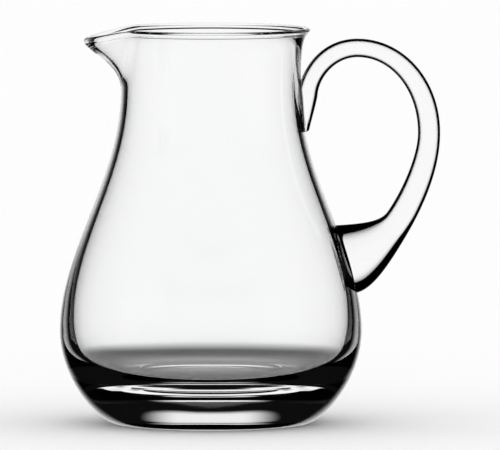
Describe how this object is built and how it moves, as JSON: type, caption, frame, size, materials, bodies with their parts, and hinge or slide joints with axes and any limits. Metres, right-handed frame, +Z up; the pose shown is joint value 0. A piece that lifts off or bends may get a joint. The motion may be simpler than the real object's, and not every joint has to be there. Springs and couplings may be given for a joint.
{
  "type": "glass pitcher",
  "caption": "Clear glass beer pitcher with a round belly, a heavy base, a narrow neck with a pulled pouring spout, and a loop strap handle sealed to the belly and the neck.",
  "frame": {"origin": "on the body's axis, in the plane of the flat foot ring that stands on the table", "axes": "+Z up along the body's axis, +X towards the handle, -X towards the spout, +Y away from the picture's viewer"},
  "size_m": [0.1903, 0.1512, 0.198],
  "materials": {
    "body_glass": "clear blown glass, fire polished",
    "handle_glass": "clear drawn glass, fire polished"
  },
  "bodies": {
    "root": {"body": "body_glass", "handle": "handle_glass"}
  },
  "joints": []
}
